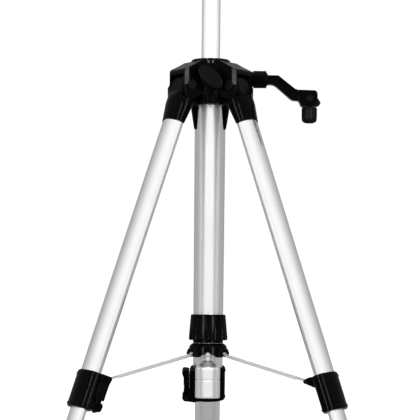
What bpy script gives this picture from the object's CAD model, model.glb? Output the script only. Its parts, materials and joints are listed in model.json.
"""Cross-line laser level on a small tripod, dressed from its CAD pieces.

+Z is up and the column stands on the Z axis. The laser's window faces -Y, towards
the camera. Legs a and b spread to the front right and front left, leg c to the back.
Added pieces are sized in millimetres. Materials, lights and camera are in metres.
"""
import json
import math

import bmesh
import bpy
from mathutils import Matrix, Vector

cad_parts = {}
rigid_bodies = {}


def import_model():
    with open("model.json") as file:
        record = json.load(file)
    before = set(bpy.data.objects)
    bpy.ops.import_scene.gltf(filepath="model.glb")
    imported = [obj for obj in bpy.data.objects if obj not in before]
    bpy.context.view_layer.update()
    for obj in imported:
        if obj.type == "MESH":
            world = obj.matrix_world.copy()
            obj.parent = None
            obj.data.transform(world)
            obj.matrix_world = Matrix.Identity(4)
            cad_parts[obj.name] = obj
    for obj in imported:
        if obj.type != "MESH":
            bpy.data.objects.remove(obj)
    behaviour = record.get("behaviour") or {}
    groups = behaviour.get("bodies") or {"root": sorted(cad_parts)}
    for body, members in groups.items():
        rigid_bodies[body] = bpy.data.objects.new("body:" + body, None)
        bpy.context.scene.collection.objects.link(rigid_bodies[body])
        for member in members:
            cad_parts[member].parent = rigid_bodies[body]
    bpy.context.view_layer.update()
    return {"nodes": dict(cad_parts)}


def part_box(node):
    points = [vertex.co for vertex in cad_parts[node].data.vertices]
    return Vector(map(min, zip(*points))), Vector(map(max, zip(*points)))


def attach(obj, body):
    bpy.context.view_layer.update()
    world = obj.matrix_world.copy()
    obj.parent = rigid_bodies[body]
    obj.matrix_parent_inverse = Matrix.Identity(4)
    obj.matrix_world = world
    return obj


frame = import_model()
scene = bpy.context.scene

MM = 0.001

# legs: azimuth in degrees, tilt from the vertical, and the hinge they start from
LEG_AZIMUTH = {"a": -30.0, "b": 210.0, "c": 90.0}
LEG_TILT = 19.7
HINGE_RADIUS, HINGE_Z = 32, 612

# leg clamps, in mm; start is measured down the leg, body is what the clamp rides on
CLAMPS = {
    "upper": dict(body="leg_", width=18.6, depth=10.3, start=299.5, length=37, screw=2.5),
    "lower": dict(body="mid_", width=16.2, depth=8.2, start=478.0, length=33, screw=2.2),
}

# laser case, in mm; heights are above its underside
CASE_HALF_WIDTH = 38
CASE_HALF_DEPTH = 33
CASE_TOP = 80
CASE_BASE_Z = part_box("laser_housing")[0][2] / MM


def turn(degrees, axis):
    return Matrix.Rotation(math.radians(degrees), 4, axis)


# ---------------------------------------------------------------- node helpers


class Graph:
    """Wraps a cleared node tree; most helpers return an output socket."""

    def __init__(self, tree):
        self.tree = tree
        tree.nodes.clear()

    def add(self, kind, **props):
        node = self.tree.nodes.new(kind)
        for key, value in props.items():
            setattr(node, key, value)
        return node

    def feed(self, value, target):
        """Gives an input a socket to follow, an RGB colour or a number."""
        if isinstance(value, bpy.types.NodeSocket):
            self.tree.links.new(value, target)
        else:
            target.default_value = (*value, 1) if isinstance(value, tuple) else value

    def coords(self, scale=(1, 1, 1), rotation=(0, 0, 0)):
        source = self.add("ShaderNodeTexCoord")
        mapping = self.add("ShaderNodeMapping")
        mapping.inputs["Scale"].default_value = scale
        mapping.inputs["Rotation"].default_value = rotation
        self.feed(source.outputs["Object"], mapping.inputs["Vector"])
        return mapping.outputs[0]

    def noise(self, vector, scale, detail=3.0, roughness=0.5):
        node = self.add("ShaderNodeTexNoise")
        node.inputs["Scale"].default_value = scale
        node.inputs["Detail"].default_value = detail
        node.inputs["Roughness"].default_value = roughness
        self.feed(vector, node.inputs["Vector"])
        return node.outputs["Fac"]

    def cells(self, vector, scale, feature):
        node = self.add("ShaderNodeTexVoronoi", feature=feature)
        node.inputs["Scale"].default_value = scale
        self.feed(vector, node.inputs["Vector"])
        return node.outputs["Distance"]

    def ramp(self, source, stops, blue=1.0):
        """Stops are (position, grey); blue scales the blue channel."""
        node = self.add("ShaderNodeValToRGB")
        elements = node.color_ramp.elements
        while len(elements) < len(stops):
            elements.new(0.5)
        for element, (position, grey) in zip(elements, stops):
            element.position = position
            element.color = (grey, grey, grey * blue, 1)
        self.feed(source, node.inputs["Fac"])
        return node.outputs["Color"]

    def mix(self, factor, a, b):
        node = self.add("ShaderNodeMix", data_type="RGBA")
        # inputs 0, 6 and 7 are the factor and the two colours
        for index, value in ((0, factor), (6, a), (7, b)):
            self.feed(value, node.inputs[index])
        return node.outputs[2]

    def math(self, operation, *values):
        node = self.add("ShaderNodeMath", operation=operation)
        for index, value in enumerate(values):
            self.feed(value, node.inputs[index])
        return node.outputs[0]

    def map_range(self, source, span, to):
        node = self.add("ShaderNodeMapRange")
        limits = zip(("From Min", "From Max", "To Min", "To Max"), (*span, *to))
        for key, value in limits:
            node.inputs[key].default_value = value
        self.feed(source, node.inputs["Value"])
        return node.outputs[0]


class Surface(Graph):
    """A material with one Principled shader and a stack of normal effects."""

    def __init__(self, name):
        self.material = bpy.data.materials.new(name)
        self.material.use_nodes = True
        super().__init__(self.material.node_tree)
        output = self.add("ShaderNodeOutputMaterial")
        self.bsdf = self.add("ShaderNodeBsdfPrincipled")
        self.feed(self.bsdf.outputs[0], output.inputs["Surface"])
        self.normal = None

    def set(self, **inputs):
        for key, value in inputs.items():
            self.feed(value, self.bsdf.inputs[key.replace("_", " ")])

    def bevel(self, radius):
        node = self.add("ShaderNodeBevel", samples=6)
        node.inputs["Radius"].default_value = radius
        return node.outputs[0]

    def wear(self, radius):
        """0 on flat surface, rising towards sharp edges."""
        rounded = self.bevel(radius)
        geometry = self.add("ShaderNodeNewGeometry")
        dot = self.add("ShaderNodeVectorMath", operation="DOT_PRODUCT")
        self.feed(rounded, dot.inputs[0])
        self.feed(geometry.outputs["Normal"], dot.inputs[1])
        return self.map_range(dot.outputs["Value"], span=(0.97, 0.75), to=(0.0, 1.0))

    def use_normal(self, source):
        self.normal = source
        self.set(Normal=source)

    def round_edges(self, radius):
        self.use_normal(self.bevel(radius))

    def emboss(self, height, strength, distance):
        """Adds a bump on top of the normal effects so far."""
        node = self.add("ShaderNodeBump")
        node.inputs["Strength"].default_value = strength
        node.inputs["Distance"].default_value = distance
        self.feed(height, node.inputs["Height"])
        if self.normal is not None:
            self.feed(self.normal, node.inputs["Normal"])
        self.use_normal(node.outputs[0])


def shade(colour, factor, lift=0.0):
    """Scales and lifts a colour, kept to 1 at most."""
    return tuple(min(1, x * factor + lift) for x in colour)


# ---------------------------------------------------------------- materials


def aluminium(name, rotation=(0, 0, 0), tone=0.86, roughness=0.2, grain=1.0):
    """Satin anodised tube: drawn lines along the axis, soft smudges, a few scratches."""
    g = Surface(name)
    # noise stretched along the mapped Z
    drawn = g.noise(g.coords((900, 900, 6), rotation), scale=1.0, detail=4, roughness=0.65)
    drift = g.noise(g.coords((160, 160, 2.2), rotation), scale=1.0, detail=2)
    smudge = g.noise(g.coords(rotation=rotation), scale=26, detail=4, roughness=0.55)
    streak = g.noise(g.coords((420, 420, 1.5), rotation), scale=1.0, detail=0)
    scratches = g.ramp(streak, [(0.0, 0.0), (0.735, 0.0), (0.76, 1.0)])
    base = g.mix(drift, (tone * 0.95,) * 3, (tone, tone * 1.003, tone * 1.01))
    smudged = g.map_range(smudge, span=(0.35, 0.75), to=(0.0, 0.16))
    g.set(
        Base_Color=g.mix(smudged, base, (0.70, 0.71, 0.73)),
        Roughness=g.math(
            "ADD",
            g.map_range(drawn, span=(0.3, 0.7), to=(roughness - 0.03, roughness + 0.05)),
            g.map_range(smudge, span=(0.3, 0.7), to=(-0.02, 0.06))),
        Metallic=1.0)
    g.round_edges(0.0004)
    g.emboss(drawn, strength=0.10 * grain, distance=0.00006)
    g.emboss(scratches, strength=0.10 * grain, distance=0.00003)
    return g.material


def black_plastic(name, tone=0.0004, roughness=0.17, grain=0.14, bevel=0.0007, specular=0.02):
    """Black moulding: fine grain, slight mottling, polished and paler worn edges."""
    tint = (1.0, 1.0, 1.04)
    g = Surface(name)
    coords = g.coords()
    fine = g.noise(coords, scale=2600, detail=2, roughness=0.6)
    medium = g.noise(coords, scale=620, detail=3, roughness=0.55)
    mottle = g.noise(coords, scale=38, detail=4, roughness=0.6)
    edges = g.wear(0.0006)
    patches = g.noise(coords, scale=240, detail=3, roughness=0.7)
    worn = g.math("MULTIPLY", edges, g.ramp(patches, [(0.35, 0.0), (0.62, 1.0)]))
    base = g.mix(mottle, shade(tint, tone), shade(tint, tone * 1.7))
    rough = g.map_range(mottle, span=(0.3, 0.7), to=(roughness - 0.05, roughness + 0.08))
    worn_polish = -0.08
    g.set(
        Base_Color=g.mix(worn, base, shade(tint, 0.006)),
        Roughness=g.math("MULTIPLY_ADD", worn, worn_polish, rough),
        Specular_IOR_Level=specular)
    g.round_edges(bevel)
    g.emboss(medium, strength=grain * 0.5, distance=0.00012)
    g.emboss(fine, strength=grain, distance=0.00005)
    return g.material


def steel(name, tone=0.62, roughness=0.26, warmth=(1.0, 0.99, 0.97)):
    """Plated metal: fine surface grain under cloudy passivation."""
    g = Surface(name)
    coords = g.coords()
    fine = g.noise(coords, scale=1500, detail=3, roughness=0.6)
    cloud = g.noise(coords, scale=90, detail=4, roughness=0.6)
    g.set(
        Base_Color=g.mix(cloud, shade(warmth, tone * 0.8), shade(warmth, tone * 1.12)),
        Roughness=g.map_range(cloud, span=(0.3, 0.7), to=(roughness - 0.06, roughness + 0.12)),
        Metallic=1.0)
    g.round_edges(0.0003)
    g.emboss(fine, strength=0.18, distance=0.00005)
    return g.material


def rubber(name, colour=(0.012, 0.012, 0.013), roughness=0.62, dust=0.5):
    """Moulded rubber: fine stipple, cloudy dust, scuffs on the edges."""
    g = Surface(name)
    coords = g.coords()
    stipple = g.cells(coords, scale=1500, feature="F1")
    cloud = g.noise(coords, scale=60, detail=5, roughness=0.62)
    edges = g.wear(0.0008)
    dusting = g.map_range(cloud, span=(0.45, 0.8), to=(0.0, dust))
    base = g.mix(dusting, colour, shade(colour, 1.25, lift=0.012))
    scuffs = g.map_range(edges, span=(0, 1), to=(0, 0.35))
    g.set(
        Base_Color=g.mix(scuffs, base, shade(colour, 1.4, lift=0.02)),
        Roughness=g.map_range(cloud, span=(0.3, 0.7), to=(roughness - 0.08, roughness + 0.1)),
        Specular_IOR_Level=0.35)
    g.round_edges(0.0008)
    g.emboss(stipple, strength=0.25, distance=0.00012)
    g.emboss(cloud, strength=0.1, distance=0.0003)
    return g.material


def textured_shell(name, colour=(0.035, 0.038, 0.042), roughness=0.46):
    """Instrument housing: leather-fine mould texture with paler rubbed edges."""
    g = Surface(name)
    coords = g.coords()
    leather = g.cells(coords, scale=900, feature="SMOOTH_F1")
    fine = g.noise(coords, scale=1400, detail=3, roughness=0.6)
    cloud = g.noise(coords, scale=30, detail=4, roughness=0.6)
    edges = g.wear(0.0008)
    base = g.mix(cloud, shade(colour, 0.85), shade(colour, 1.2))
    rubbed = g.map_range(edges, span=(0, 1), to=(0, 0.4))
    g.set(
        Base_Color=g.mix(rubbed, base, shade(colour, 2.2, lift=0.01)),
        Roughness=g.map_range(cloud, span=(0.3, 0.7), to=(roughness - 0.05, roughness + 0.07)),
        Specular_IOR_Level=0.45)
    g.round_edges(0.001)
    g.emboss(leather, strength=0.3, distance=0.0002)
    g.emboss(fine, strength=0.2, distance=0.00008)
    return g.material


def gloss(name, colour, roughness=0.2):
    """Smooth lacquered surface with a thin coat."""
    g = Surface(name)
    coords = g.coords()
    cloud = g.noise(coords, scale=55, detail=4, roughness=0.6)
    fine = g.noise(coords, scale=700, detail=2)
    g.set(
        Base_Color=g.mix(cloud, shade(colour, 0.86), shade(colour, 1.1)),
        Roughness=g.map_range(cloud, span=(0.3, 0.7), to=(roughness - 0.05, roughness + 0.12)),
        Coat_Weight=0.3,
        Coat_Roughness=0.1)
    g.round_edges(0.0005)
    g.emboss(fine, strength=0.06, distance=0.0001)
    return g.material


def glass(name):
    g = Surface(name)
    cloud = g.noise(g.coords(), scale=35, detail=4, roughness=0.6)
    g.set(
        Base_Color=g.mix(cloud, (0.72, 0.86, 0.82), (0.8, 0.92, 0.89)),
        Roughness=g.map_range(cloud, span=(0.35, 0.75), to=(0.01, 0.07)),
        Transmission_Weight=1.0,
        IOR=1.46)
    g.emboss(cloud, strength=0.02, distance=0.0005)
    return g.material


def leg_rotation(azimuth):
    """Turns texture coordinates so that the mapped Z runs along the leg."""
    leg = turn(azimuth, "Z") @ turn(-LEG_TILT, "Y")
    return tuple(leg.to_3x3().inverted().to_euler())


MATERIALS = {
    "alu": aluminium("alu_column", roughness=0.26),
    "alu_sleeve": aluminium("alu_sleeve", roughness=0.36, grain=0.7),
    "alu_stop": aluminium("alu_turned", roughness=0.36, grain=0.6),
    "black": black_plastic("black_nylon"),
    "black_soft": black_plastic(
        "black_grip", tone=0.0009, roughness=0.34, grain=0.4, specular=0.03),
    "black_steel": black_plastic(
        "black_oxide", tone=0.0012, roughness=0.24, grain=0.12, bevel=0.0003, specular=0.05),
    "steel": steel("zinc_steel"),
    "dark_steel": steel("rack_steel", tone=0.45, roughness=0.32),
    "rubber": rubber("foot_rubber"),
    "bumper": rubber("bumper_rubber", colour=(0.78, 0.36, 0.02), roughness=0.55, dust=0.3),
    "shell": textured_shell("instrument_shell"),
    "shell_lid": textured_shell(
        "instrument_lid", colour=(0.05, 0.054, 0.06), roughness=0.5),
    "slider": gloss("slider_red", colour=(0.62, 0.05, 0.03)),
    "button": gloss("button_grey", colour=(0.30, 0.32, 0.34), roughness=0.3),
    "glass": glass("window_glass"),
    "liner": gloss("liner_nylon", colour=(0.05, 0.05, 0.052), roughness=0.32),
    "paint_white": gloss("scale_paint", colour=(0.72, 0.72, 0.7), roughness=0.4),
    "brass": steel("emitter_brass", tone=0.6, roughness=0.22, warmth=(1.0, 0.78, 0.42)),
    "lens": gloss("emitter_lens", colour=(0.02, 0.10, 0.05), roughness=0.06),
    "led": gloss("status_led", colour=(0.05, 0.30, 0.08), roughness=0.12),
}
for leg, azimuth in LEG_AZIMUTH.items():
    MATERIALS["alu_" + leg] = aluminium("alu_leg_" + leg, leg_rotation(azimuth))
    MATERIALS["alu_arm_" + leg] = aluminium(
        "alu_brace_" + leg, (0, 0, math.radians(-azimuth)), tone=0.74, roughness=0.27)

# ---------------------------------------------------------------- dressing the CAD

# CAD piece -> material; other pieces follow find_look
LOOK = {
    "column_tube": "alu", "column_sleeve": "alu_sleeve", "column_end_stop": "alu_stop",
    "leg_pivot_pins": "black_steel", "hub_screws": "black_steel",
    "pinion_shaft": "dark_steel", "gear_rack": "dark_steel",
    "grip_hinge_pin": "black_steel", "grip_spindle": "black_steel",
    "head_stud": "steel", "brace_pins": "black_steel", "laser_pendulum": "steel",
    "laser_housing": "shell", "battery_cover": "shell_lid", "laser_bumper": "bumper",
    "laser_windows": "glass", "laser_slider": "slider", "laser_button": "button",
    "grip_sleeve": "black_soft", "lock_ring": "black", "laser_base": "black",
    "lock_knob": "black_soft",
}


def find_look(name):
    """Leg pieces end in their leg's letter; anything unlisted is black."""
    if name in LOOK:
        return LOOK[name]
    if name.startswith(("upper_tube", "mid_tube", "lower_tube")):
        return "alu_" + name[-1]
    if name.startswith("brace_arm"):
        return "alu_arm_" + name[-1]
    if name.startswith("clamp_pins"):
        return "black_steel"
    return "rubber" if name.startswith("foot") else "black"


for name, obj in frame["nodes"].items():
    material = MATERIALS[find_look(name)]
    if len(obj.material_slots) == 0:
        obj.data.materials.append(material)
    for material_slot in obj.material_slots:
        material_slot.material = material

# ---------------------------------------------------------------- shape helpers, in mm


def place(x, y, z):
    return Matrix.Translation((x * MM, y * MM, z * MM))


def facing(x, y, z, direction):
    """Frame at a point with its Z along direction."""
    forward = Vector(direction).normalized()
    up = Vector((0, 0, 1))
    if abs(forward.dot(up)) > 0.95:
        up = Vector((1, 0, 0))
    across = up.cross(forward).normalized()
    axes = Matrix((across, forward.cross(across), forward)).transposed().to_4x4()
    return place(x, y, z) @ axes


def on_laser(x, y, height, direction):
    return facing(x, y, CASE_BASE_Z + height, direction)


def link_piece(name, bm, look, body):
    """Turns the bmesh into an object that rides on a body."""
    bmesh.ops.recalc_face_normals(bm, faces=bm.faces)
    mesh = bpy.data.meshes.new(name)
    bm.to_mesh(mesh)
    bm.free()
    obj = bpy.data.objects.new(name, mesh)
    scene.collection.objects.link(obj)
    mesh.materials.append(MATERIALS[look])
    for polygon in mesh.polygons:
        polygon.use_smooth = True
    edges = obj.modifiers.new("edges", "EDGE_SPLIT")
    edges.split_angle = math.radians(34)
    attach(obj, body)


def join_loops(bm, first, second):
    for i in range(len(first)):
        j = (i + 1) % len(first)
        bm.faces.new((first[i], first[j], second[j], second[i]))


def lathe(bm, profile, matrix, segments):
    """Turns a closed outline of (radius, height) about the matrix's Z."""
    rings = []
    for i in range(segments):
        a = 2 * math.pi * i / segments
        rings.append([
            bm.verts.new(matrix @ Vector((r * MM * math.cos(a), r * MM * math.sin(a), h * MM)))
            for r, h in profile])
    for i, ring in enumerate(rings):
        join_loops(bm, ring, rings[(i + 1) % segments])


def slab(bm, outline, low, high, matrix, bevel=0.0):
    """Extrudes an outline from low to high and rounds its rims."""
    part = bmesh.new()
    bottom = [part.verts.new((x * MM, y * MM, low * MM)) for x, y in outline]
    top = [part.verts.new((x * MM, y * MM, high * MM)) for x, y in outline]
    part.faces.new(list(reversed(bottom)))
    part.faces.new(top)
    join_loops(part, bottom, top)
    if bevel:
        rims = [e for e in part.edges if abs(e.verts[0].co.z - e.verts[1].co.z) < 1e-9]
        bmesh.ops.bevel(part, geom=rims, offset=bevel * MM, segments=2, profile=0.6,
                        affect="EDGES", clamp_overlap=True)
    part.transform(matrix)
    mesh = bpy.data.meshes.new("tmp")
    part.to_mesh(mesh)
    part.free()
    bm.from_mesh(mesh)
    bpy.data.meshes.remove(mesh)


def rounded_rect(width, height, radius, steps):
    x, y = width / 2 - radius, height / 2 - radius
    points = []
    for cx, cy, start in ((x, y, 0), (-x, y, 90), (-x, -y, 180), (x, -y, 270)):
        for i in range(steps + 1):
            a = math.radians(start + 90 * i / steps)
            points.append((cx + radius * math.cos(a), cy + radius * math.sin(a)))
    return points


def turned_piece(name, profile, matrix, look, body, segments=56):
    bm = bmesh.new()
    lathe(bm, profile, matrix, segments)
    link_piece(name, bm, look, body)


# ---------------------------------------------------------------- hub and legs
# Every lathe profile below lists (radius, height).


def cap_liner():
    """Nylon liner the column slides in."""
    profile = [(9.45, 0.0), (10.9, 0.0), (11.1, 0.35), (10.8, 0.8), (9.7, 0.8), (9.45, 0.5)]
    turned_piece("cap_liner", profile, place(0, 0, 640.02),
                 "liner", "hub", segments=72)


def crank_washer():
    """Thrust washer behind the crank."""
    profile = [(3.15, 0.0), (6.9, 0.0), (7.1, 0.12), (7.1, 0.24), (6.9, 0.34), (3.15, 0.34)]
    turned_piece("crank_washer", profile, facing(42.62, 15.6, 622.6, (1, 0, 0)),
                 "black_steel", "hub")


def leg_frame(leg):
    """Leg's own frame: -Z runs down the leg and +X faces away from the column."""
    return (turn(LEG_AZIMUTH[leg], "Z") @ place(HINGE_RADIUS, 0, HINGE_Z)
            @ turn(-LEG_TILT, "Y"))


def clamp_side(leg, clamp, gap, along):
    """Frame facing the leg's +Y, gap past the clamp's width, along from the hinge."""
    spot = place(2.2 - clamp["depth"], clamp["width"] + gap, -along)
    return leg_frame(leg) @ spot @ turn(-90, "X")


def lever_ridges(stage, leg, clamp):
    """Four raised thumb ridges across the lever's outer face."""
    first, pitch = 10.2, 2.4
    outline = rounded_rect(8.8, 1.05, radius=0.45, steps=4)
    bm = bmesh.new()
    for k in range(4):
        matrix = clamp_side(leg, clamp, gap=6.62, along=clamp["start"] + first + k * pitch)
        slab(bm, outline, -0.3, 0.42, matrix, bevel=0.22)
    link_piece(f"{stage}_lever_ridges_{leg}", bm, "black_soft",
               f"{stage}_lever_{leg}")


def lever_cushion(stage, leg, clamp):
    """Cushion strip on the clamp, under the closed lever."""
    inset = 4.9
    length = clamp["length"] - 17.6
    matrix = clamp_side(leg, clamp, gap=0.27, along=clamp["start"] + inset + length / 2)
    bm = bmesh.new()
    slab(bm, rounded_rect(9.6, length, radius=0.6, steps=4), 0.0, 0.5, matrix, bevel=0.12)
    link_piece(f"{stage}_lever_cushion_{leg}", bm, "black",
               clamp["body"] + leg)


def clamp_boss(stage, leg, clamp):
    """Round dished boss on the clamp's outer face."""
    r = clamp["screw"]
    profile = [(0.001, -0.3), (r + 0.5, -0.3), (r + 0.5, 0.05), (r + 0.25, 0.4),
               (r * 0.62, 0.42), (r * 0.55, 0.05), (0.001, 0.05)]
    middle = clamp["start"] + clamp["length"] * 0.5
    matrix = leg_frame(leg) @ place(clamp["depth"] - 2.6, 0, -middle) @ turn(90, "Y")
    turned_piece(f"{stage}_clamp_boss_{leg}", profile, matrix, "black_soft",
                 clamp["body"] + leg, segments=36)


def foot_band(leg):
    """Tread band around the foot."""
    profile = [(14.1, -1.0), (14.52, -0.8), (14.68, 0.0), (14.52, 0.8), (14.1, 1.0)]
    turned_piece(f"foot_band_{leg}", profile, leg_frame(leg) @ place(-2.6, 0, -639.8),
                 "rubber", f"lower_{leg}", segments=64)


cap_liner()
crank_washer()
for leg in LEG_AZIMUTH:
    for stage, clamp in CLAMPS.items():
        lever_ridges(stage, leg, clamp)
        lever_cushion(stage, leg, clamp)
    for stage, clamp in CLAMPS.items():
        clamp_boss(stage, leg, clamp)
    foot_band(leg)

# ---------------------------------------------------------------- laser level

FRONT, BACK, UP = (0, -1, 0), (0, 1, 0), (0, 0, 1)

# emitters on the pendulum, in mm: name, y, height, bore radius, outer radius
EMITTERS = [("upper", -22, 56, 2.2, 4.3), ("lower", -20, 45, 2.4, 4.7)]


def base_scale():
    """Degree marks standing round the turntable's rim, with every sixth one longer."""
    radius, z, count = 34.98, 852.4, 72
    bm = bmesh.new()
    for k in range(count):
        length = 2.0 if k % 6 == 0 else 1.2
        matrix = turn(k * 360 / count, "Z") @ place(radius, 0, z) @ turn(90, "Y")
        slab(bm, rounded_rect(length, 0.32, radius=0.1, steps=2), -0.1, 0.14, matrix)
    link_piece("base_scale", bm, "paint_white", "column")


def window_bezel():
    """Frame round the window opening on the front of the case."""
    outer = rounded_rect(42.4, 40.2, radius=4.2, steps=6)
    inner = rounded_rect(36.6, 34.4, radius=2.4, steps=6)
    low, high = -0.2, 1.1
    matrix = place(0, -CASE_HALF_DEPTH, CASE_BASE_Z + 51) @ turn(90, "X")
    bm = bmesh.new()
    # outline, scale and height of each loop, from outer foot over the top to inner foot
    loops = [
        [bm.verts.new(matrix @ Vector((x * scale * MM, y * scale * MM, z * MM)))
         for x, y in outline]
        for outline, scale, z in (
            (outer, 1, low), (outer, 0.985, high), (inner, 1.01, high), (inner, 1, low))]
    for i, loop in enumerate(loops):
        join_loops(bm, loop, loops[(i + 1) % len(loops)])
    link_piece("window_bezel", bm, "black_soft", "laser")


def emitters():
    """Brass bezels on the pendulum, each with a domed lens."""
    for name, y, height, bore, rim in EMITTERS:
        profile = [(bore, -1.0), (rim, -1.0), (rim, 0.6), (rim - 0.4, 1.0),
                   (bore + 0.3, 1.0), (bore, 0.4)]
        turned_piece(f"emitter_bezel_{name}", profile, on_laser(0, y, height, FRONT),
                     "brass", "pendulum")
    for name, y, height, bore, _ in EMITTERS:
        r = bore - 0.1
        profile = [(0.001, -0.6), (r, -0.6), (r, 0.0), (r * 0.8, 0.42),
                   (r * 0.45, 0.66), (0.001, 0.75)]
        turned_piece(f"emitter_lens_{name}", profile, on_laser(0, y, height, FRONT),
                     "lens", "pendulum", segments=32)


def status_lights():
    """Two lights on top of the case."""
    profile = [(0.001, -0.4), (1.3, -0.4), (1.3, 0.1), (0.9, 0.32), (0.001, 0.4)]
    bm = bmesh.new()
    for x in (-12, -7.5):
        lathe(bm, profile, on_laser(x, -12, CASE_TOP, UP), segments=24)
    link_piece("status_lights", bm, "led", "laser")


def button_surround():
    profile = [(7.3, -0.6), (9.0, -0.6), (9.0, 0.05), (8.6, 0.45), (7.7, 0.45), (7.3, 0.1)]
    turned_piece("button_surround", profile, on_laser(0, 8, CASE_TOP, UP),
                 "black_soft", "laser")


def battery_latch():
    """Raised tab on the battery cover, at the back."""
    matrix = place(0, CASE_HALF_DEPTH, CASE_BASE_Z + 53.5) @ turn(-90, "X")
    bm = bmesh.new()
    slab(bm, rounded_rect(16, 5, radius=1.6, steps=5), -0.4, 0.9, matrix, bevel=0.4)
    link_piece("battery_latch", bm, "black_soft", "battery_cover")


def side_ribs():
    """Five level ribs on each side of the case, -X side first."""
    first, pitch = 32, 5.2
    outline = rounded_rect(2.2, 30, radius=1.0, steps=5)
    for side, letter in ((-1, "l"), (1, "r")):
        bm = bmesh.new()
        for k in range(5):
            spot = place(side * CASE_HALF_WIDTH, 2, CASE_BASE_Z + first + k * pitch)
            slab(bm, outline, -0.4, 0.85, spot @ turn(90 * side, "Y"), bevel=0.4)
        link_piece("side_ribs_" + letter, bm, "shell_lid", "laser")


def case_screws():
    """Four screws on the back of the case."""
    profile = [(0.001, -0.3), (2.3, -0.3), (2.3, 0.1), (1.9, 0.5), (1.0, 0.55),
               (0.9, 0.2), (0.001, 0.2)]
    bm = bmesh.new()
    for x in (-27.435, 27.435):
        for height in (22.5, 57.5):
            lathe(bm, profile, on_laser(x, CASE_HALF_DEPTH, height, BACK), segments=28)
    link_piece("case_screws", bm, "steel", "laser")


base_scale()
window_bezel()
emitters()
status_lights()
button_surround()
battery_latch()
side_ribs()
case_screws()

# ---------------------------------------------------------------- stage, in metres


def build_floor():
    """White floor that shows darker in reflections and glows slightly to the camera."""
    bm = bmesh.new()
    bmesh.ops.create_grid(bm, x_segments=2, y_segments=2, size=14)
    mesh = bpy.data.meshes.new("floor")
    bm.to_mesh(mesh)
    bm.free()
    floor = bpy.data.objects.new("floor", mesh)
    floor.location = (0, 0, -0.0002)
    scene.collection.objects.link(floor)
    g = Surface("floor_white")
    ray = g.add("ShaderNodeLightPath").outputs
    cloud = g.noise(g.coords(), scale=3.0)
    pale = g.mix(cloud, (0.93, 0.93, 0.93), (0.97, 0.97, 0.97))
    g.set(
        Base_Color=g.mix(ray["Is Glossy Ray"], pale, (0.40, 0.40, 0.405)),
        Roughness=0.9,
        Specular_IOR_Level=0.1,
        Emission_Color=g.mix(ray["Is Camera Ray"], (0, 0, 0), (1, 1, 1)),
        Emission_Strength=0.35)
    mesh.materials.append(g.material)


def build_world():
    """Studio light graded from -Y to +Y, with plain white behind for the camera."""
    world = bpy.data.worlds.new("studio")
    scene.world = world
    world.use_nodes = True
    g = Graph(world.node_tree)
    output = g.add("ShaderNodeOutputWorld")
    background = g.add("ShaderNodeBackground")
    direction = g.add("ShaderNodeSeparateXYZ")
    g.feed(g.add("ShaderNodeTexCoord").outputs["Generated"], direction.inputs[0])
    along_y = g.map_range(direction.outputs["Y"], span=(-1, 1), to=(0, 1))
    # (position from -Y to +Y, brightness)
    stops = [(0.0, 0.95), (0.03, 1.02), (0.06, 1.16), (0.43, 1.14), (0.587, 0.86),
             (0.75, 0.62), (0.883, 0.46), (0.963, 0.36), (1.0, 0.6)]
    light = g.ramp(along_y, stops, blue=1.004)
    seen = g.add("ShaderNodeLightPath").outputs["Is Camera Ray"]
    g.feed(g.mix(seen, light, (1.05, 1.05, 1.05)), background.inputs[0])
    g.feed(background.outputs[0], output.inputs[0])


def collect(name, prefixes):
    """Gathers the meshes with a material whose name starts with a prefix."""
    group = bpy.data.collections.new(name)
    for obj in bpy.data.objects:
        if obj.type == "MESH" and any(
                m and m.name.startswith(prefixes) for m in obj.data.materials):
            group.objects.link(obj)
    return group


def area(name, location, target, size, power, only=None, shadow=None):
    """Area light; only limits what it lights, shadow what blocks it."""
    light = bpy.data.lights.new(name, "AREA")
    light.shape = "RECTANGLE"
    light.size, light.size_y = size
    light.energy = power
    light.spread = math.pi
    obj = bpy.data.objects.new(name, light)
    obj.location = location
    aim = Vector(target) - Vector(location)
    obj.rotation_euler = aim.to_track_quat("-Z", "Y").to_euler()
    scene.collection.objects.link(obj)
    if only:
        obj.light_linking.receiver_collection = only
    if shadow:
        obj.light_linking.blocker_collection = shadow


def build_lights():
    dark = collect("dark mouldings", "black_")
    tubes = collect("bright tubes", ("alu_sleeve", "alu_turned", "alu_column"))
    area("tube_wall", (0.0, -2.1, 0.7), target=(0, 0, 0.45), size=(8.0, 2.4), power=23,
         only=tubes, shadow=dark)
    stop = collect("turned stop", "alu_turned")
    # the empty collection lets nothing shade the stop
    area("stop_wall", (0.0, -1.5, 1.9), target=(0, 0, 0.33), size=(2.4, 1.6), power=11,
         only=stop, shadow=bpy.data.collections.new("nothing"))
    area("top", (0.0, -0.4, 2.6), target=(0, 0, 0.4), size=(2.4, 2.4), power=26)
    for name, x, power in (("front_left", -1.14, 70), ("front_right", 1.14, 66)):
        area(name, (x, -1.95, 0.82), target=(0, 0, 0.6), size=(0.13, 1.5), power=power,
             only=dark)


def build_camera():
    """Long lens at the front, framing a set width at the column."""
    distance, view_width = 2.0, 0.42
    slide_x, slide_y = 0.0016, 0.09
    camera = bpy.data.cameras.new("camera")
    camera.sensor_width = 36
    camera.lens = camera.sensor_width * distance / view_width
    camera.shift_x = slide_x / view_width
    camera.shift_y = slide_y / view_width
    camera.clip_end = 60
    obj = bpy.data.objects.new("camera", camera)
    obj.matrix_world = (Matrix.Translation((0, -distance, 0.4)) @ turn(90, "X")
                        @ turn(0.56, "Z"))
    scene.collection.objects.link(obj)
    scene.camera = obj


scene.view_settings.view_transform = "Standard"
scene.view_settings.look = "None"
build_floor()
build_world()
build_lights()
build_camera()

bpy.context.view_layer.update()
